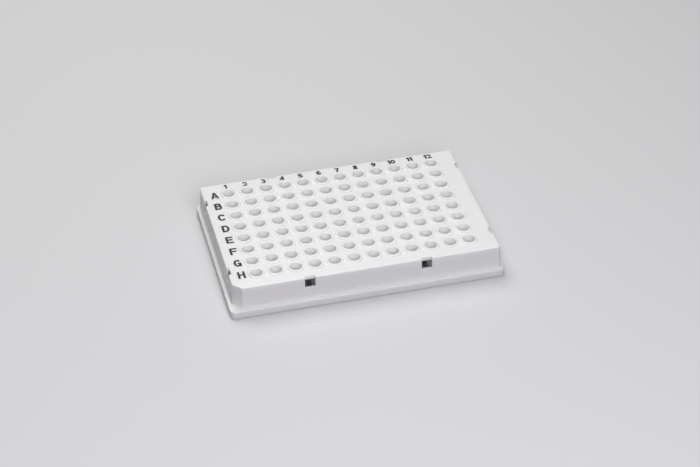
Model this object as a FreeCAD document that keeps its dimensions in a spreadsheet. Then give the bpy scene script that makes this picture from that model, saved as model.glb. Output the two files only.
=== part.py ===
import FreeCAD, Part
import math
import os
import Sketcher

# A full-skirted 96-well plate for thermal cycling, moulded in one piece from white plastic.
# The frame: +X along the twelve columns, +Y towards row A, +Z up, with the origin at the middle of
# the foot, on the surface that the plate stands on.

doc = FreeCAD.newDocument("well_plate")
NEAR = 1e-4  # how close two lengths must be to count as the same

# ---------------------------------------------------------------- driving sizes, in millimetres
SIZES = [
    ("well_pitch", 9.0, "spacing of the wells, both ways"),
    ("well_columns", 12, "wells along X"),
    ("well_rows", 8, "wells along Y"),
    ("foot_length", 127.76, "outside of the foot flange along X"),
    ("foot_width", 85.48, "outside of the foot flange along Y"),
    ("foot_height", 4.0, "from the bench to the ledge on top of the flange"),
    ("foot_corner", 2.6, "radius of the flange's upright corners"),
    ("foot_edge", 0.4, "rounding of the flange's outer edges"),
    ("ledge", 1.76, "width of the ledge on top of the flange, from the flange's side to the wall"),
    ("deck_height", 15.3, "from the bench to the deck"),
    ("deck_thickness", 2.0, "thickness of the deck"),
    ("deck_corner", 1.6, "radius of the deck's three round corners"),
    ("deck_edge", 0.4, "rounding of the deck's rim"),
    ("key_cut", 4.0, "the cut corner beside well H1, along each side"),
    ("key_edge", 0.5, "rounding of the cut corner's two upright edges"),
    ("wall", 1.15, "thickness of the side walls and of the flange"),
    ("draft_angle", 2.0, "slope of the side walls, in degrees"),
    ("ledge_fillet", 0.7, "hollow where the wall meets the ledge"),
    ("window_step", 3, "from the middle of a side to each window, in well pitches"),
    ("window_width", 4.7, "window along its side"),
    ("window_sill", 9.9, "from the bench to a window's sill"),
    ("window_break", 0.1, "how far a window reaches past the wall's inner face"),
    ("collar_height", 0.6, "collar above the deck"),
    ("collar_radius", 3.95, "outside of the collar"),
    ("collar_chamfer", 0.2, "bevel of the collar's outer top edge"),
    ("mouth_radius", 2.96, "well at the collar's top"),
    ("mouth_depth", 0.2, "depth of the flared mouth"),
    ("bore_radius", 2.76, "well below its mouth"),
    ("bore_depth", 4.55, "from the collar's top to the cone"),
    ("tip_radius", 1.3, "rounded bottom of the well"),
    ("well_depth", 14.6, "from the collar's top to the bottom of the well"),
    ("tube_wall", 0.45, "thickness of the well's own wall at its tip"),
    ("root_wall", 0.85, "thickness of that wall inside the deck"),
]
sizes = doc.addObject("Spreadsheet::Sheet", "Sizes")
for line, (alias, value, meaning) in enumerate(SIZES, start=1):
    sizes.set(f"A{line}", alias)
    sizes.set(f"B{line}", str(value))
    sizes.set(f"C{line}", meaning)
    sizes.setAlias(f"B{line}", alias)

plate = doc.addObject("PartDesign::Body", "Plate")
plate.Label = "well_plate"
doc.recompute()


# ---------------------------------------------------------------- ways of drawing
def origin(role):
    """The body's own origin plane or axis with this role, such as XY_Plane."""
    return next(f for f in plate.Origin.OriginFeatures if f.Role == role)


def sketch_on(role, name, **offset):
    """A sketch on an origin plane, its own origin moved by expressions for x, y and z."""
    sketch = plate.newObject("Sketcher::SketchObject", name)
    sketch.AttachmentSupport = [(origin(role), "")]
    sketch.MapMode = "FlatFace"
    for axis, expression in offset.items():
        sketch.setExpression(f"AttachmentOffset.Base.{axis}", expression)
    return sketch


def place(sketch, edge, end, across, up):
    """Holds an edge's end (1 start, 2 end, 3 centre) at two distances given by expressions."""
    for kind, expression in (("DistanceX", across), ("DistanceY", up)):
        value = sketch.evalExpression(expression)
        held = sketch.addConstraint(Sketcher.Constraint(kind, -1, 1, edge, end, float(value)))
        sketch.setExpression(f"Constraints[{held}]", expression)


def outline(sketch, corners):
    """A closed outline of straight edges through corners, each a pair of expressions."""
    points = [FreeCAD.Vector(*(float(sketch.evalExpression(e)) for e in c)) for c in corners]
    first = sketch.GeometryCount
    count = len(corners)
    for k in range(count):
        sketch.addGeometry(Part.LineSegment(points[k], points[(k + 1) % count]))
    for k, (across, up) in enumerate(corners):
        after = first + (k + 1) % count
        sketch.addConstraint(Sketcher.Constraint("Coincident", first + k, 2, after, 1))
        place(sketch, first + k, 1, across, up)


def rectangle(sketch, low, high):
    """A closed rectangle between two opposite corners, each a pair of expressions."""
    outline(sketch, [low, (high[0], low[1]), high, (low[0], high[1])])


def feature(kind, name, **settings):
    """A feature of the body. A text setting that names a cell of the sheet becomes an expression."""
    made = plate.newObject(f"PartDesign::{kind}", name)
    for prop, value in settings.items():
        if isinstance(value, str) and "Sizes." in value:
            made.setExpression(prop, value)
        else:
            setattr(made, prop, value)
    doc.recompute()
    return made


def edges_where(base, test):
    """The names of the edges of a feature's shape that pass a test."""
    return [f"Edge{n}" for n, edge in enumerate(base.Shape.Edges, start=1) if test(edge)]


def round_edges(name, base, radius, test):
    """A fillet on the edges that pass a test, its radius given by an expression."""
    return feature("Fillet", name, Base=(base, edges_where(base, test)), Radius=radius)


def lies_at(edge, height):
    """True for an edge that lies level at this height."""
    box = edge.BoundBox
    return abs(box.ZMin - height) < NEAR and abs(box.ZMax - height) < NEAR


def stands(edge, low, high):
    """True for an upright or sloping edge that runs from one height to another."""
    box = edge.BoundBox
    return abs(box.ZMin - low) < NEAR and abs(box.ZMax - high) < NEAR


# ---------------------------------------------------------------- the skirt's outer form
FOOT_TOP = sizes.foot_height
DECK_TOP = sizes.deck_height
RISE = "(Sizes.deck_height - Sizes.foot_height)"
DECK_HALF_LENGTH = f"(Sizes.foot_length / 2 - Sizes.ledge - {RISE} * tan(Sizes.draft_angle))"
DECK_HALF_WIDTH = f"(Sizes.foot_width / 2 - Sizes.ledge - {RISE} * tan(Sizes.draft_angle))"

foot_plan = sketch_on("XY_Plane", "FootPlan")
rectangle(
    foot_plan,
    ("-Sizes.foot_length / 2", "-Sizes.foot_width / 2"),
    ("Sizes.foot_length / 2", "Sizes.foot_width / 2"),
)
foot = feature("Pad", "Foot", Profile=foot_plan, Length="Sizes.foot_height")
foot = round_edges("FootCorners", foot, "Sizes.foot_corner", lambda e: stands(e, 0, FOOT_TOP))


def deck_outline(sketch, inset, cut):
    """The deck's outline, moved inwards by one expression and with its key corner cut by another."""
    left, right = f"-{DECK_HALF_LENGTH} + {inset}", f"{DECK_HALF_LENGTH} - {inset}"
    front, back = f"-{DECK_HALF_WIDTH} + {inset}", f"{DECK_HALF_WIDTH} - {inset}"
    corners = [
        (f"{left} + {cut}", front),
        (right, front),
        (right, back),
        (left, back),
        (left, f"{front} + {cut}"),
    ]
    outline(sketch, corners)


# The deck block narrows upwards by the draft, and is cut off at the corner beside well H1.
deck_plan = sketch_on("XY_Plane", "DeckPlan", z="Sizes.deck_height")
deck_outline(deck_plan, inset="0", cut="Sizes.key_cut")
block = feature(
    "Pad",
    "Deck",
    Profile=deck_plan,
    Length=RISE,
    Reversed=True,
    TaperAngle="Sizes.draft_angle",
)


def at_key(edge):
    """True for an edge of the block at the cut corner."""
    box = edge.BoundBox
    return box.XMax < 0 and box.YMax < 0


def upright(edge):
    return stands(edge, FOOT_TOP, DECK_TOP)


block = round_edges(
    "DeckCorners", block, "Sizes.deck_corner", lambda e: upright(e) and not at_key(e)
)
block = round_edges("KeyEdges", block, "Sizes.key_edge", lambda e: upright(e) and at_key(e))
block = round_edges("DeckRim", block, "Sizes.deck_edge", lambda e: lies_at(e, DECK_TOP))


def outermost(edge):
    """True for an edge on the flange's outer faces."""
    box = edge.BoundBox
    across, along = max(-box.YMin, box.YMax), max(-box.XMin, box.XMax)
    return abs(across - sizes.foot_width / 2) < NEAR or abs(along - sizes.foot_length / 2) < NEAR


block = round_edges(
    "LedgeHollow",
    block,
    "Sizes.ledge_fillet",
    lambda e: lies_at(e, FOOT_TOP) and not outermost(e),
)

# ---------------------------------------------------------------- the hollow underneath
foot_hollow = sketch_on("XY_Plane", "FootHollowPlan")
rectangle(
    foot_hollow,
    ("-Sizes.foot_length / 2 + Sizes.wall", "-Sizes.foot_width / 2 + Sizes.wall"),
    ("Sizes.foot_length / 2 - Sizes.wall", "Sizes.foot_width / 2 - Sizes.wall"),
)
block = feature(
    "Pocket",
    "FootHollow",
    Profile=foot_hollow,
    Length="Sizes.foot_height - Sizes.wall",
    Reversed=True,
)
block = round_edges(
    "FootHollowCorners",
    block,
    "Sizes.foot_corner - Sizes.wall",
    lambda e: stands(e, 0, FOOT_TOP - sizes.wall) and not outermost(e),
)
block = round_edges(
    "FootRims",
    block,
    "Sizes.foot_edge",
    lambda e: outermost(e) and (lies_at(e, FOOT_TOP) or lies_at(e, 0)),
)

deck_hollow = sketch_on("XY_Plane", "DeckHollowPlan", z="Sizes.deck_height - Sizes.deck_thickness")
deck_outline(deck_hollow, inset="Sizes.wall", cut="(Sizes.key_cut - Sizes.wall * (2 - sqrt(2)))")
block = feature(
    "Pocket",
    "DeckHollow",
    Profile=deck_hollow,
    Length="Sizes.deck_height - Sizes.deck_thickness",
    TaperAngle="Sizes.draft_angle",
)

# ---------------------------------------------------------------- two windows in each side
# A window is a notch in the deck's rim, down to a sill, that breaks into the hollow below the deck.
windows = sketch_on("XY_Plane", "WindowPlan", z="Sizes.deck_height")
NEAR_SIDE = "Sizes.window_step * Sizes.well_pitch - Sizes.window_width / 2"
FAR_SIDE = "Sizes.window_step * Sizes.well_pitch + Sizes.window_width / 2"
DEPTH = "(Sizes.wall + Sizes.window_break)"
rectangle(
    windows,
    (NEAR_SIDE, "-Sizes.foot_width / 2"),
    (FAR_SIDE, f"-{DECK_HALF_WIDTH} + {DEPTH}"),
)
rectangle(
    windows,
    (f"{DECK_HALF_LENGTH} - {DEPTH}", NEAR_SIDE),
    ("Sizes.foot_length / 2", FAR_SIDE),
)
block = feature(
    "Pocket", "Windows", Profile=windows, Length="Sizes.deck_height - Sizes.window_sill"
)


def pattern(kind, name, **settings):
    """A pattern or mirror of the body, which counts only once it is the body's tip."""
    made = feature(kind, name, **settings)
    plate.Tip = made
    doc.recompute()
    return made


across = plate.newObject("PartDesign::Mirrored", "WindowsAcross")
across.MirrorPlane = (origin("YZ_Plane"), [""])
along = plate.newObject("PartDesign::Mirrored", "WindowsAlong")
along.MirrorPlane = (origin("XZ_Plane"), [""])
block = pattern(
    "MultiTransform", "AllWindows", Originals=[block], Transformations=[across, along]
)

# ---------------------------------------------------------------- the wells
# Each well is a thin tube that hangs from the deck and stands above it as a collar. The first
# well is turned about its own upright axis, and a pattern repeats it in columns and rows.
FIRST_X = "-Sizes.well_pitch * (Sizes.well_columns - 1) / 2"
FIRST_Y = "Sizes.well_pitch * (Sizes.well_rows - 1) / 2"
TOP = "(Sizes.deck_height + Sizes.collar_height)"


def half_section(name, steps, tip, bottom):
    """Half of a turned section, beside the first well's axis.

    It starts on the axis level with the first step, goes straight from step to step, and ends in
    a cone and a round tip that brings it back to the axis. All are expressions.
    """
    sketch = sketch_on("XZ_Plane", name, x=FIRST_X, z=f"-({FIRST_Y})")
    numbers = [[float(sketch.evalExpression(e)) for e in step] for step in steps]
    radius, low = (float(sketch.evalExpression(e)) for e in (tip, bottom))
    corners = [FreeCAD.Vector(*pair) for pair in numbers]
    top, foot = FreeCAD.Vector(0, corners[0].y), FreeCAD.Vector(0, low)
    middle, side = FreeCAD.Vector(0, low + radius), FreeCAD.Vector(radius, low + radius)
    whole = Part.Circle(middle, FreeCAD.Vector(0, 0, 1), radius)

    path = [top, *corners, side]
    for start, end in zip(path, path[1:]):
        sketch.addGeometry(Part.LineSegment(start, end))
    cone = len(corners)
    dome, axis = cone + 1, cone + 2
    sketch.addGeometry(Part.ArcOfCircle(whole, -math.pi / 2, 0))
    sketch.addGeometry(Part.LineSegment(foot, top))
    for edge in range(cone):
        sketch.addConstraint(Sketcher.Constraint("Coincident", edge, 2, edge + 1, 1))
        place(sketch, edge + 1, 1, *steps[edge])
    upright_axis = -2  # the sketch's own upright axis, as its constraints number it
    sketch.addConstraint(
        [
            Sketcher.Constraint("Horizontal", 0),
            Sketcher.Constraint("Tangent", cone, 2, dome, 2),
            Sketcher.Constraint("Coincident", dome, 1, axis, 1),
            Sketcher.Constraint("Coincident", axis, 2, 0, 1),
            Sketcher.Constraint("PointOnObject", axis, 1, upright_axis),
            Sketcher.Constraint("PointOnObject", axis, 2, upright_axis),
            Sketcher.Constraint("PointOnObject", dome, 3, upright_axis),
        ]
    )
    bend = sketch.addConstraint(Sketcher.Constraint("Radius", dome, radius))
    sketch.setExpression(f"Constraints[{bend}]", tip)
    depth = sketch.addConstraint(Sketcher.Constraint("DistanceY", -1, 1, dome, 1, low))
    sketch.setExpression(f"Constraints[{depth}]", bottom)
    return sketch


def turned(kind, name, section):
    """A section turned once round its own upright axis, then repeated for every well."""
    first = feature(kind, name, Profile=section, ReferenceAxis=(section, ["V_Axis"]), Angle=360.0)
    return pattern(
        "LinearPattern",
        f"{name}s",
        Originals=[first],
        Direction=(origin("X_Axis"), [""]),
        Length="Sizes.well_pitch * (Sizes.well_columns - 1)",
        Occurrences="Sizes.well_columns",
        Direction2=(origin("Y_Axis"), [""]),
        Reversed2=True,
        Length2="Sizes.well_pitch * (Sizes.well_rows - 1)",
        Occurrences2="Sizes.well_rows",
    )


IN_DECK = "Sizes.deck_height - Sizes.deck_thickness / 2"
tube_section = half_section(
    "TubeSection",
    steps=[
        ("Sizes.collar_radius - Sizes.collar_chamfer", TOP),
        ("Sizes.collar_radius", f"{TOP} - Sizes.collar_chamfer"),
        ("Sizes.collar_radius", IN_DECK),
        ("Sizes.bore_radius + Sizes.root_wall", IN_DECK),
    ],
    tip="Sizes.tip_radius + Sizes.tube_wall",
    bottom=f"{TOP} - Sizes.well_depth - Sizes.tube_wall",
)
turned("Revolution", "Tube", tube_section)

bore_section = half_section(
    "BoreSection",
    steps=[
        ("Sizes.mouth_radius", TOP),
        ("Sizes.bore_radius", f"{TOP} - Sizes.mouth_depth"),
        ("Sizes.bore_radius", f"{TOP} - Sizes.bore_depth"),
    ],
    tip="Sizes.tip_radius",
    bottom=f"{TOP} - Sizes.well_depth",
)
turned("Groove", "Bore", bore_section)

# ---------------------------------------------------------------- the finished piece
for item in doc.Objects:
    if {"Invalid", "Error"} & set(item.State):
        raise RuntimeError(f"{item.Label} could not be made")
if plate.Shape.isNull() or not plate.Shape.isValid() or len(plate.Shape.Solids) != 1:
    raise RuntimeError(f"{plate.Label} is not one valid solid")
os.makedirs("parts", exist_ok=True)
plate.Shape.exportStep(f"parts/{plate.Label}.step")
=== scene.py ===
import math

import bmesh
import bpy
from mathutils import Euler, Matrix, Vector
from mathutils.geometry import delaunay_2d_cdt


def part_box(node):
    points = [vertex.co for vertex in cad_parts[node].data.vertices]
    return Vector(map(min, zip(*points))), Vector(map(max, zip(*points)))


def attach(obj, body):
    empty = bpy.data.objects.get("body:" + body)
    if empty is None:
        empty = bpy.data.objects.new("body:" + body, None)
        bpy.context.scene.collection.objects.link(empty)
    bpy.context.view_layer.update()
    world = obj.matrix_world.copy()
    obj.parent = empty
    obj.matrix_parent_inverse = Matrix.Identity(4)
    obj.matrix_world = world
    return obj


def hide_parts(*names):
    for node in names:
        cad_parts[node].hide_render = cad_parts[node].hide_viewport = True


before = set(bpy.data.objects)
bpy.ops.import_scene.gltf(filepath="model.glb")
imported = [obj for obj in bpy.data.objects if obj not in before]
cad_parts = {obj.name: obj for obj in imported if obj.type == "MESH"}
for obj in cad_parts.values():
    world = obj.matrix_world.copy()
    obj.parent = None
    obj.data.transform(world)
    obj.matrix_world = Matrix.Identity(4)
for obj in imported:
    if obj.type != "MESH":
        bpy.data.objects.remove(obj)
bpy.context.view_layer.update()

# ---------------------------------------------------------------- deck, walls and flange
# A skirted 96-well plate, injection moulded in one piece from white polypropylene. This section
# makes the deck's margin, the four drafted walls under it, the cut corner beside well H1, and the
# flange that the plate stands on. It is a thin shell, open underneath. Sizes are in metres.
low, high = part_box("well_plate")
pitch = 0.009
columns, rows = 12, 8
foot_top = 0.004
foot_corner = 0.0026
foot_edge = 0.0004
deck_top = 0.0153
deck_under = 0.0133
deck_corner = 0.0016
deck_edge = 0.0004
key_cut = 0.004
key_bend = 0.0005
wall = 0.00115
slope = math.tan(math.radians(2))
ledge = 0.00176
ledge_fillet = 0.0007
window_middle = 3 * pitch
window_width = 0.0047
window_sill = 0.0099
window_depth = wall + 0.0001
mould_edge = 0.00008
deck_half = Vector((high.x, high.y)) - Vector((1, 1)) * (ledge + (deck_top - foot_top) * slope)
foot_half = Vector((high.x, high.y))
SIDES = [Vector((1, 0)), Vector((0, 1)), Vector((-1, 0)), Vector((0, -1))]
BEND = 4  # steps round half of a corner
LEAST_RADIUS = 0.0003  # no corner of a wall gets tighter than this
ROUNDING = (90, 68, 45, 22, 0)  # the angles that a rounded edge is drawn at, from its flat top
HOLLOW = (0, 18, 36, 54, 72, 90)  # the angles of the hollow between a wall and the ledge
PER_SIDE = 2 * (BEND + 1) + 4  # a corner's points and the four edges of its side's two windows


def side_point(side, along, half):
    """A point on one side of a rectangle: front, right, back or left, in that order."""
    ahead = SIDES[side]
    outward = Vector((ahead.y, -ahead.x))
    return ahead * along + outward * (half.y if side % 2 == 0 else half.x)


def corner_points(side, half, radius, cut):
    """The corner that leads into a side: round, or two bends joined by a straight cut."""
    points = []
    if cut:
        flat = radius * math.tan(math.radians(22.5))
        centers = [
            Vector((radius - half.x, cut + flat - half.y)),
            Vector((cut + flat - half.x, radius - half.y)),
        ]
        for bend, center in enumerate(centers):
            for step in range(BEND + 1):
                turn = math.radians(180 + 45 * (bend + step / BEND))
                points.append(center + radius * Vector((math.cos(turn), math.sin(turn))))
        return points
    ahead = SIDES[side]
    outward = Vector((ahead.y, -ahead.x))
    center = side_point(side, 0, half) - outward * radius
    center -= ahead * ((half.x if side % 2 == 0 else half.y) - radius)
    last = 2 * BEND + 1
    for step in range(last + 1):
        turn = math.radians(90 * step / last)
        points.append(center + radius * (math.sin(turn) * outward - math.cos(turn) * ahead))
    return points


def ring(half, radius, height, cut=0.0, bend=0.0):
    """A level outline of the skirt, counter-clockwise from above, starting at the cut corner."""
    points = []
    for side in range(4):
        key = side == 0 and cut > 0
        points += corner_points(side, half, bend if key else radius, cut if key else 0.0)
        for middle in (-window_middle, window_middle):
            for edge in (-window_width / 2, window_width / 2):
                points.append(side_point(side, middle + edge, half))
    return [p.to_3d() + Vector((0, 0, height)) for p in points]


def wall_ring(out, height, rounding=0.0):
    """The deck's own outline, moved outwards with its cut corner, at a height."""
    half = deck_half + Vector((out, out))
    radius = max(deck_corner + rounding, LEAST_RADIUS)
    bend = max(key_bend + rounding, LEAST_RADIUS)
    return ring(half, radius, height, key_cut + out * (2 - math.sqrt(2)), bend)


def flange_ring(inset, height):
    """The flange's outline, moved inwards, at a height."""
    return ring(foot_half - Vector((inset, inset)), foot_corner - inset, height)


def spread(height):
    """How far the draft has moved a wall out at a height."""
    return (deck_top - height) * slope


def eased(radius, angle):
    """How far a rounding has gone sideways and downwards at an angle in degrees."""
    turn = math.radians(angle)
    return radius * (1 - math.cos(turn)), radius * (1 - math.sin(turn))


# The rings run from the deck's rim down the outside, under the foot and up the inside.
rings = []
for angle in ROUNDING:
    inset, drop = eased(deck_edge, angle)
    height = deck_top - drop
    rings.append(wall_ring(spread(height) - inset, height, -inset))
SILL_OUTSIDE = len(rings)
rings.append(wall_ring(spread(window_sill), window_sill))
for angle in HOLLOW:
    out, rise = eased(ledge_fillet, angle)
    height = foot_top + rise
    rings.append(wall_ring(spread(height) + out, height, out))
for angle in ROUNDING:
    inset, drop = eased(foot_edge, angle)
    rings.append(flange_ring(inset, foot_top - drop))
for angle in reversed(ROUNDING):
    inset, rise = eased(foot_edge, angle)
    rings.append(flange_ring(inset, low.z + rise))
rings.append(flange_ring(wall, low.z))
rings.append(flange_ring(wall, foot_top - wall))
rings.append(wall_ring(spread(foot_top - wall) - wall, foot_top - wall, -wall))
SILL_INSIDE = len(rings)
rings.append(wall_ring(spread(window_sill) - wall, window_sill, -wall))
rings.append(wall_ring(spread(deck_under) - wall, deck_under, -wall))

skirt = bmesh.new()
loops = [[skirt.verts.new(point) for point in points] for points in rings]
COUNT = len(loops[0])
window_starts = [
    side * PER_SIDE + 2 * (BEND + 1) + 2 * window for side in range(4) for window in range(2)
]
for level, (above, below) in enumerate(zip(loops, loops[1:])):
    pierced = level < SILL_OUTSIDE or level >= SILL_INSIDE
    for k in range(COUNT):
        if pierced and k in window_starts:
            continue
        after = (k + 1) % COUNT
        skirt.faces.new((above[k], below[k], below[after], above[after]))

# Each window is a notch in the deck's rim, down to a sill, that breaks into the hollow below.
detours = {}
for start in window_starts:
    side, window = divmod(start, PER_SIDE)
    edges = [start, start + 1]
    inner = deck_half - Vector((window_depth, window_depth))
    along = [loops[0][k].co.to_2d().dot(SIDES[side]) for k in edges]
    back = [
        [skirt.verts.new((*side_point(side, a, inner), height)) for a in along]
        for height in (deck_top, deck_under)
    ]
    detours[start] = back
    for end, k in enumerate(edges):
        jamb = [loops[level][k] for level in range(SILL_OUTSIDE, -1, -1)]
        jamb += [back[0][end], back[1][end], loops[-1][k], loops[SILL_INSIDE][k]]
        skirt.faces.new(jamb if end else reversed(jamb))
    outside, inside = loops[SILL_OUTSIDE], loops[SILL_INSIDE]
    skirt.faces.new((outside[start], outside[start + 1], inside[start + 1], inside[start]))
    skirt.faces.new((back[0][0], back[1][0], back[1][1], back[0][1]))

# The flat margin between the deck's rim and the field of wells, on top and underneath.
field = Vector((columns * pitch / 2, rows * pitch / 2))
for face, (loop, height) in enumerate(((loops[0], deck_top), (loops[-1], deck_under))):
    border = []
    for side in range(4):
        cells = columns if side % 2 == 0 else rows
        for cell in range(cells):
            point = side_point(side, (cell - cells / 2) * pitch, field)
            border.append(skirt.verts.new((*point, height)))
    first = 0
    for side in range(4):
        cells = columns if side % 2 == 0 else rows
        outer = []
        for k in range(side * PER_SIDE + BEND, (side + 1) * PER_SIDE + BEND + 1):
            outer.append(loop[k % COUNT])
            if k in detours:
                outer += detours[k][face]
        inner = [border[(first + cell) % len(border)] for cell in range(cells, -1, -1)]
        first += cells
        skirt.faces.new(outer + inner if face == 0 else reversed(outer + inner))

for face in skirt.faces:
    face.smooth = True
skirt_mesh = bpy.data.meshes.new("skirt")
skirt.to_mesh(skirt_mesh)
skirt.free()
moulding = bpy.data.objects.new("moulding", skirt_mesh)
bpy.context.scene.collection.objects.link(moulding)
edging = moulding.modifiers.new("Mould edges", "BEVEL")
edging.width = mould_edge
edging.segments = 2
edging.limit_method = "ANGLE"
edging.angle_limit = math.radians(50)

# ---------------------------------------------------------------- wells
# Each well is a thin-walled cone with a round tip, moulded with the deck. It stands above the deck
# as a raised rim with rounded edges, which a film or a strip of caps seals on. The wells share one
# shape, which is repeated over the field of twelve columns and eight rows.
rim_top = high.z
collar_radius = 0.00395
collar_edge = 0.0001
collar_foot = 0.00003
mouth_radius = 0.00296
mouth_edge = 0.0002
bore_radius = 0.00276
bore_draft = 0.00005  # how much the bore has narrowed where the cone begins
bore_end = rim_top - 0.00455
tip_radius = 0.0013
tip_bottom = rim_top - 0.0146
tube_wall = 0.00045
root_radius = 0.00345
AROUND = 32  # sides of each round part of a well


def quarter(center, radius, start, steps):
    """Points on a quarter circle in a section, as (distance from the axis, height).

    It starts at an angle in degrees, and a negative radius makes it turn clockwise.
    """
    sweep = 90 if radius > 0 else -90
    points = []
    for step in range(steps + 1):
        turn = math.radians(start + sweep * step / steps)
        across, up = abs(radius) * math.cos(turn), abs(radius) * math.sin(turn)
        points.append((center[0] + across, center[1] + up))
    return points


def round_tip(top, radius, bottom, steps):
    """The rounded end of a cone from a point down to a tip, down to just before the axis."""
    rise = top[1] - bottom - radius
    lean = math.atan2(top[0], rise) - math.asin(radius / math.hypot(top[0], rise))
    points = []
    for step in range(steps):
        turn = -lean - (math.pi / 2 - lean) * step / steps
        points.append((radius * math.cos(turn), bottom + radius + radius * math.sin(turn)))
    return points


# Below the rounded mouth the bore narrows in two easy steps, and then runs to the cone.
cone_top = (bore_radius - bore_draft, bore_end)
inside_section = [
    *quarter((collar_radius + collar_foot, deck_top + collar_foot), -collar_foot, 270, 2),
    *quarter((collar_radius - collar_edge, rim_top - collar_edge), collar_edge, 0, 4),
    *quarter((mouth_radius, rim_top - mouth_edge), mouth_edge, 90, 3),
    (bore_radius + 0.00006, rim_top - 0.0005),
    (bore_radius + 0.00002, rim_top - 0.0011),
    cone_top,
    *round_tip(cone_top, tip_radius, tip_bottom, 4),
]
outside_section = [
    (root_radius, deck_under),
    *round_tip((root_radius, deck_under), tip_radius + tube_wall, tip_bottom - tube_wall, 4),
]

# One well fills one square of the deck, on top and underneath, so that its neighbours meet it.
cell = bmesh.new()
turns = [2 * math.pi * k / AROUND for k in range(AROUND)]
for section, bottom, upwards in (
    (inside_section, tip_bottom, True),
    (outside_section, tip_bottom - tube_wall, False),
):
    circles = [
        [cell.verts.new((r * math.cos(a), r * math.sin(a), z)) for a in turns] for r, z in section
    ]
    pole = cell.verts.new((0, 0, bottom))
    corners = [
        cell.verts.new((x * pitch / 2, y * pitch / 2, section[0][1]))
        for x, y in ((1, 1), (-1, 1), (-1, -1), (1, -1))
    ]
    faces = []
    for outer, inner in zip(circles, circles[1:]):
        for k in range(AROUND):
            after = (k + 1) % AROUND
            faces.append([outer[k], outer[after], inner[after], inner[k]])
    for k in range(AROUND):
        faces.append([circles[-1][k], circles[-1][(k + 1) % AROUND], pole])
    for side in range(4):
        first = AROUND // 8 + side * AROUND // 4
        arc = [circles[0][(first + k) % AROUND] for k in range(AROUND // 4, -1, -1)]
        faces.append([corners[side], corners[(side + 1) % 4], *arc])
    for face in faces:
        cell.faces.new(face if upwards else reversed(face)).smooth = True
cell_mesh = bpy.data.meshes.new("well")
cell.to_mesh(cell_mesh)
cell.free()
well = bpy.data.objects.new("well", cell_mesh)
bpy.context.scene.collection.objects.link(well)

fields = bpy.data.node_groups.new("Field of wells", "GeometryNodeTree")
fields.is_modifier = True
for name, direction, kind in (
    ("Geometry", "INPUT", "NodeSocketGeometry"),
    ("Well", "INPUT", "NodeSocketObject"),
    ("Pitch", "INPUT", "NodeSocketFloat"),
    ("Columns", "INPUT", "NodeSocketInt"),
    ("Rows", "INPUT", "NodeSocketInt"),
    ("Material", "INPUT", "NodeSocketMaterial"),
    ("Geometry", "OUTPUT", "NodeSocketGeometry"),
):
    fields.interface.new_socket(name, in_out=direction, socket_type=kind)


def grown(tree, kind, settings=None, **inputs):
    """A node of a Geometry Nodes tree: its settings first, then its inputs by name."""
    node = tree.nodes.new(f"GeometryNode{kind}" if not kind.startswith("Shader") else kind)
    for key, value in (settings or {}).items():
        setattr(node, key, value)
    for key, value in inputs.items():
        socket = node.inputs[key.replace("_", " ")]
        if isinstance(value, bpy.types.NodeSocket):
            tree.links.new(value, socket)
        else:
            socket.default_value = value
    return node


given = fields.nodes.new("NodeGroupInput").outputs
spans = []
for name in ("Columns", "Rows"):
    count = grown(fields, "ShaderNodeMath", {"operation": "SUBTRACT"})
    fields.links.new(given[name], count.inputs[0])
    count.inputs[1].default_value = 1
    length = grown(fields, "ShaderNodeMath", {"operation": "MULTIPLY"})
    fields.links.new(count.outputs[0], length.inputs[0])
    fields.links.new(given["Pitch"], length.inputs[1])
    spans.append(length.outputs[0])
points = grown(
    fields,
    "MeshGrid",
    Size_X=spans[0],
    Size_Y=spans[1],
    Vertices_X=given["Columns"],
    Vertices_Y=given["Rows"],
)
shape = grown(fields, "ObjectInfo", Object=given["Well"])
copies = grown(
    fields,
    "InstanceOnPoints",
    Points=points.outputs["Mesh"],
    Instance=shape.outputs["Geometry"],
)
real = grown(fields, "RealizeInstances", Geometry=copies.outputs["Instances"])
joined = fields.nodes.new("GeometryNodeJoinGeometry")
fields.links.new(real.outputs["Geometry"], joined.inputs["Geometry"])
fields.links.new(given["Geometry"], joined.inputs["Geometry"])
merged = grown(fields, "MergeByDistance", Geometry=joined.outputs["Geometry"], Distance=1e-6)
painted = grown(
    fields, "SetMaterial", Geometry=merged.outputs["Geometry"], Material=given["Material"]
)
result = fields.nodes.new("NodeGroupOutput")
fields.links.new(painted.outputs["Geometry"], result.inputs["Geometry"])

# ---------------------------------------------------------------- white polypropylene
# The moulded plastic is a slightly milky white, with a soft shine over the fine grain of the
# mould, and a little uneven in gloss where it flowed and was handled. Light soaks about a
# millimetre into it, which softens the wells.


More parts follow.
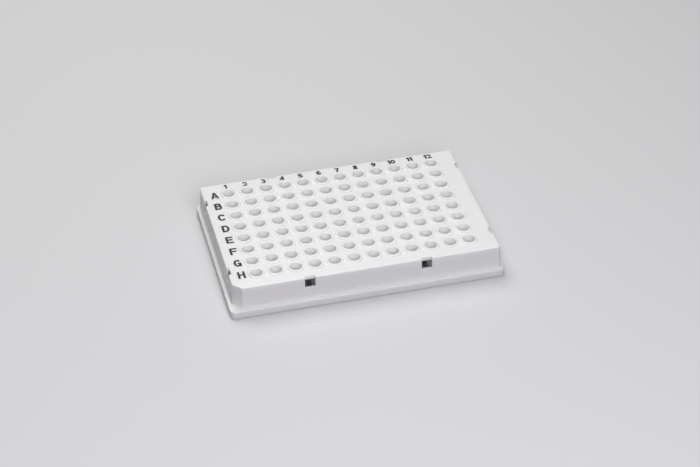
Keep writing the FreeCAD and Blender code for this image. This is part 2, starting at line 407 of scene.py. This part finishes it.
class Wire:
    """A shader socket that arithmetic can be done on; each sign makes a maths node."""

    def __init__(self, tree, socket):
        self.tree, self.socket = tree, socket

    def make(self, kind, settings=None, out=0, **inputs):
        """A new node: its settings first, then its inputs by name, or by number as i0, i1, ..."""
        node = self.tree.nodes.new(f"ShaderNode{kind}")
        for key, value in (settings or {}).items():
            setattr(node, key, value)
        for key, value in inputs.items():
            numbered = key[1:].isdigit()
            socket = node.inputs[int(key[1:]) if numbered else key.replace("_", " ")]
            if isinstance(value, Wire):
                self.tree.links.new(value.socket, socket)
            else:
                socket.default_value = value
        return Wire(self.tree, node.outputs[out])

    def blend(self, first, second):
        """A colour between two others, by this socket's value."""
        colours = {"i6": (*first, 1), "i7": (*second, 1)}
        return self.make("Mix", {"data_type": "RGBA"}, out=2, i0=self, **colours)

    def feed(self, shader, name):
        """Leads this socket into one of a shader's own inputs."""
        self.tree.links.new(self.socket, shader.inputs[name])

    def maths(self, operation, first, second):
        return self.make("Math", {"operation": operation}, i0=first, i1=second)

    def __add__(self, other):
        return self.maths("ADD", self, other)

    def __radd__(self, other):
        return self.maths("ADD", other, self)

    def __sub__(self, other):
        return self.maths("SUBTRACT", self, other)

    def __rsub__(self, other):
        return self.maths("SUBTRACT", other, self)

    def __mul__(self, other):
        return self.maths("MULTIPLY", self, other)

    def __rmul__(self, other):
        return self.maths("MULTIPLY", other, self)


white = bpy.data.materials.new("white_polypropylene")
white.use_nodes = True
shader = white.node_tree.nodes["Principled BSDF"]
coordinates = white.node_tree.nodes.new("ShaderNodeTexCoord")
here = Wire(white.node_tree, coordinates.outputs["Object"])
grain = here.make("TexNoise", Vector=here, Scale=9000.0, Detail=2.0)
flow = here.make("TexNoise", Vector=here, Scale=60.0, Detail=3.0)
flow.blend((0.945, 0.945, 0.945), (0.98, 0.98, 0.98)).feed(shader, "Base Color")
(0.17 + 0.08 * flow + 0.04 * grain).feed(shader, "Roughness")
here.make("Bump", Strength=0.2, Distance=0.00003, Height=grain).feed(shader, "Normal")
shader.inputs["IOR"].default_value = 1.49
shader.inputs["Subsurface Weight"].default_value = 1.0
shader.inputs["Subsurface Radius"].default_value = (1.0, 1.0, 1.0)
shader.inputs["Subsurface Scale"].default_value = 0.0012

skirting = moulding.modifiers.new("Field of wells", "NODES")
skirting.node_group = fields
values = {"Well": well, "Pitch": pitch, "Columns": columns, "Rows": rows, "Material": white}
for item in fields.interface.items_tree:
    if item.in_out == "INPUT" and item.name in values:
        skirting[item.identifier] = values[item.name]
shading = moulding.modifiers.new("Even shading", "WEIGHTED_NORMAL")
shading.keep_sharp = True
shading.weight = 50
bpy.context.view_layer.update()
finished = bpy.data.meshes.new_from_object(
    moulding.evaluated_get(bpy.context.evaluated_depsgraph_get())
)
for extra in (moulding, well):
    bpy.data.objects.remove(extra)
plate = bpy.data.objects.new("plate", finished)
bpy.context.scene.collection.objects.link(plate)
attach(plate, "root")
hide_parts("well_plate")

# ---------------------------------------------------------------- printed letters and numbers
# The rows' letters and the columns' numbers, A to H and 1 to 12, are printed on the deck in one
# pass of dark grey ink. Plain bold characters, each made of bars and bows of one stroke width.
ink_top = deck_top + 0.00002
ink_bottom = deck_top - 0.00001
letter_height, letter_width, letter_stroke = 0.005, 0.0034, 0.00098
letter_middle = Vector((-0.0562, 0.0003))
digit_height, digit_width, digit_stroke = 0.0032, 0.0022, 0.00072
digit_row = 0.0377
digit_gap = 0.0002
NARROW_ONE = 0.6  # the width of a 1, as a share of another digit's


def bar(left, bottom, right, top):
    """An upright or level stroke."""
    return [[(left, bottom), (right, bottom), (right, top), (left, top)]]


def leg(foot, bottom, head, top, across):
    """A slanting stroke with level ends, from its foot's left corner to its head's."""
    return [[(foot, bottom), (foot + across, bottom), (head + across, top), (head, top)]]


def bow(middle, radii, stroke, start, stop):
    """A bent stroke on an ellipse, between two directions in degrees, in two lengths."""
    lengths = []
    for half in range(2):
        begin = start + (stop - start) * half / 2
        steps = [math.radians(begin + (stop - start) * k / 20) for k in range(11)]
        outer, inner = (
            [(middle[0] + rx * math.cos(a), middle[1] + ry * math.sin(a)) for a in steps]
            for rx, ry in (radii, (radii[0] - stroke, radii[1] - stroke))
        )
        lengths.append(outer + inner[::-1] if stop > start else inner + outer[::-1])
    return lengths


def lobe(left, bottom, top, right, stroke):
    """The round side of a B or a D, with the two level strokes that join it to the stem."""
    ry = (top - bottom) / 2
    rx = min(ry, (right - left) * 0.6)
    turn = right - rx
    return (
        bar(left, bottom, turn, bottom + stroke)
        + bar(left, top - stroke, turn, top)
        + bow((turn, bottom + ry), (rx, ry), stroke, -90, 90)
    )


def character(name, w, h, t):
    """The strokes of one character, in a box of a width and a height."""
    stem = bar(0, 0, t, h)
    level = t * 0.92
    slant = t * 1.12
    if name == "A":
        cross = h * 0.21
        overhang = w * 0.05
        return (
            leg(-overhang, 0, (w - level) / 2, h, level)
            + leg(w - level + overhang, 0, (w - level) / 2, h, level)
            + bar(w * 0.22, cross, w * 0.78, cross + level * 0.85)
        )
    if name == "B":
        waist = h * 0.47
        return (
            stem
            + lobe(t / 2, 0, waist + level, w, t)
            + lobe(t / 2, waist, h, w * 0.94, t)
        )
    if name == "C":
        return bow((w / 2, h / 2), (w * 0.55, h / 2), t, 33, 327)
    if name == "D":
        return stem + lobe(t / 2, 0, h, w, t)
    if name in "EF":
        foot = bar(t / 2, 0, w, level) if name == "E" else []
        middle = bar(t / 2, h * 0.43, w * 0.9, h * 0.43 + level)
        return stem + bar(t / 2, h - level, w, h) + middle + foot
    if name == "G":
        spur = bar(w * 0.52, h * 0.53 - level, w, h * 0.53) + bar(w - t * 0.9, 0, w, h * 0.5)
        return bow((w / 2, h / 2), (w / 2, h / 2), t, 35, 325) + spur
    if name == "H":
        return stem + bar(w - t, 0, w, h) + bar(t / 2, h * 0.44, w - t / 2, h * 0.44 + level)
    if name == "1":
        flag = [[(0, h * 0.64), (w - t, h * 0.74), (w - t, h), (w * 0.5, h), (0, h * 0.84)]]
        return flag + bar(w - t * 1.1, 0, w, h)
    if name == "2":
        crown = h * 0.69
        return (
            bow((w / 2, crown), (w / 2, h - crown), t, -35, 180)
            + [[(0, 0), (w * 0.46, 0), (w, crown - t * 0.4), (w * 0.66, crown - t * 1.1)]]
            + bar(0, 0, w, level)
        )
    if name == "3":
        return bow((w * 0.48, h * 0.745), (w * 0.46, h * 0.255), t * 0.96, -90, 170) + bow(
            (w / 2, h * 0.29), (w / 2, h * 0.29), t, -170, 90
        )
    if name == "4":
        return (
            bar(w * 0.58, 0, w * 0.58 + t, h)
            + bar(0, h * 0.2, w, h * 0.2 + level)
            + [[(0, h * 0.2), (w * 0.28, h * 0.2), (w * 0.75, h), (w * 0.52, h)]]
        )
    if name == "5":
        return (
            bar(w * 0.14, h - level, w * 0.94, h)
            + [[(w * 0.03, h * 0.42), (w * 0.3, h * 0.42), (w * 0.38, h), (w * 0.14, h)]]
            + bow((w / 2, h * 0.325), (w / 2, h * 0.325), t, -165, 140)
        )
    if name in "69":
        ring = bow((w / 2, h * 0.32), (w / 2, h * 0.32), t, 0, 360)
        hook = bow((w / 2, h / 2), (w / 2, h / 2), t, 40, 200)
        strokes = ring + hook
        if name == "9":
            strokes = [[(w - x, h - y) for x, y in stroke] for stroke in strokes]
        return strokes
    if name == "7":
        return bar(0, h - level, w, h) + leg(w * 0.16, 0, w - slant, h - t / 2, slant)
    if name == "8":
        return bow((w / 2, h * 0.75), (w * 0.46, h * 0.25), t * 0.94, 0, 360) + bow(
            (w / 2, h * 0.285), (w / 2, h * 0.285), t, 0, 360
        )
    return bow((w / 2, h / 2), (w / 2, h / 2), t, 0, 360)


strokes = []
for row, name in enumerate("ABCDEFGH"):
    corner = letter_middle + Vector((0, ((rows - 1) / 2 - row) * pitch))
    corner -= Vector((letter_width, letter_height)) / 2
    for stroke in character(name, letter_width, letter_height, letter_stroke):
        strokes.append([corner + Vector(point) for point in stroke])
for column in range(columns):
    label = str(column + 1)
    widths = [digit_width * (NARROW_ONE if name == "1" else 1) for name in label]
    corner = Vector(((column - (columns - 1) / 2) * pitch, digit_row - digit_height / 2))
    corner.x -= (sum(widths) + digit_gap * (len(label) - 1)) / 2
    if label == "1":  # on its own it stands centred on its stem
        corner.x -= (widths[0] - digit_stroke) / 2
    for name, width in zip(label, widths):
        for stroke in character(name, width, digit_height, digit_stroke):
            strokes.append([corner + Vector(point) for point in stroke])
        corner = corner + Vector((width + digit_gap, 0))

# The strokes are cut into cells where they cross. The cells inside any stroke are inked, and given
# the ink's thickness.
spots = [point for stroke in strokes for point in stroke]
loops, first = [], 0
for stroke in strokes:
    loops.append(list(range(first, first + len(stroke))))
    first += len(stroke)
flat, _, cells, _, _, owners = delaunay_2d_cdt(spots, [], loops, 0, 1e-8)
inked = [cell for cell, owner in zip(cells, owners) if owner]
print_sheet = bmesh.new()
tops = [print_sheet.verts.new((*point, ink_top)) for point in flat]
bases = [print_sheet.verts.new((*point, ink_bottom)) for point in flat]
sides = set()
for cell in inked:
    print_sheet.faces.new([tops[k] for k in cell])
    print_sheet.faces.new([bases[k] for k in reversed(cell)])
    sides |= {(a, b) for a, b in zip(cell, cell[1:] + cell[:1])}
for a, b in sides:
    if (b, a) not in sides:
        print_sheet.faces.new((tops[b], tops[a], bases[a], bases[b]))
loose = [vert for vert in print_sheet.verts if not vert.link_faces]
bmesh.ops.delete(print_sheet, geom=loose, context="VERTS")
bmesh.ops.dissolve_limit(
    print_sheet,
    angle_limit=math.radians(1),
    verts=print_sheet.verts[:],
    edges=print_sheet.edges[:],
)
marks_mesh = bpy.data.meshes.new("row_and_column_marks")
print_sheet.to_mesh(marks_mesh)
print_sheet.free()
marks = bpy.data.objects.new("row_and_column_marks", marks_mesh)
bpy.context.scene.collection.objects.link(marks)

ink = bpy.data.materials.new("dark_grey_ink")
ink.use_nodes = True
ink_shader = ink.node_tree.nodes["Principled BSDF"]
coordinates = ink.node_tree.nodes.new("ShaderNodeTexCoord")
here = Wire(ink.node_tree, coordinates.outputs["Object"])
cover = here.make("TexNoise", Vector=here, Scale=2500.0, Detail=3.0)
cover.blend((0.008, 0.008, 0.009), (0.03, 0.03, 0.032)).feed(ink_shader, "Base Color")
(0.45 + 0.25 * cover).feed(ink_shader, "Roughness")
marks_mesh.materials.append(ink)
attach(marks, "root")

# ---------------------------------------------------------------- surroundings
# A plain pale floor with the plate's soft shadow on it, a faint even sky, one large lamp above and
# a little behind, one in front, and the camera. The floor looks pale, but what it sends back at the
# plate by diffuse light is that of a darker one.
floor_mesh = bpy.data.meshes.new("floor")
floor_mesh.from_pydata([(-2, -2, 0), (2, -2, 0), (2, 2, 0), (-2, 2, 0)], [], [(0, 1, 2, 3)])
floor = bpy.data.objects.new("floor", floor_mesh)
bpy.context.scene.collection.objects.link(floor)
pale = bpy.data.materials.new("pale_floor")
pale.use_nodes = True
path = pale.node_tree.nodes.new("ShaderNodeLightPath")
camera_ray, glossy_ray, clear_ray = (
    Wire(pale.node_tree, path.outputs[name])
    for name in ("Is Camera Ray", "Is Glossy Ray", "Is Transmission Ray")
)
floor_shader = pale.node_tree.nodes["Principled BSDF"]
seen = camera_ray + glossy_ray + clear_ray
seen.blend((0.155, 0.15, 0.17), (0.72, 0.72, 0.73)).feed(floor_shader, "Base Color")
floor_shader.inputs["Roughness"].default_value = 0.9
floor_mesh.materials.append(pale)

world = bpy.data.worlds.new("studio")
bpy.context.scene.world = world
world.use_nodes = True
sky = world.node_tree.nodes["Background"]
sky.inputs["Color"].default_value = (0.8, 0.8, 0.82, 1)
sky.inputs["Strength"].default_value = 0.02


def softbox(name, place, size, power, tint):
    """A square lamp that faces the plate."""
    lamp = bpy.data.lights.new(name, "AREA")
    lamp.shape = "SQUARE"
    lamp.size = size
    lamp.energy = power
    lamp.color = tint
    holder = bpy.data.objects.new(name, lamp)
    holder.matrix_world = Matrix.Translation(place) @ (
        (-Vector(place)).to_track_quat("-Z", "Y").to_matrix().to_4x4()
    )
    bpy.context.scene.collection.objects.link(holder)


softbox("above", (-0.09, 0.4, 0.87), 0.65, 6.2, (1.0, 1.0, 0.99))
softbox("front", (-0.03, -0.75, 0.6), 0.6, 6.0, (1.01, 0.99, 1.025))

camera_data = bpy.data.cameras.new("camera")
camera_data.lens = 99.36
camera_data.sensor_width = 36.0
camera = bpy.data.objects.new("camera", camera_data)
stand = Matrix.Translation((-0.171673, -0.703326, 0.541204))
tilt, roll, swing = (math.radians(angle) for angle in (53.493, 0.4752, -14.1771))
camera.matrix_world = stand @ Euler((tilt, roll, swing)).to_matrix().to_4x4()
bpy.context.scene.collection.objects.link(camera)
bpy.context.scene.camera = camera
bpy.context.scene.view_settings.view_transform = "Standard"
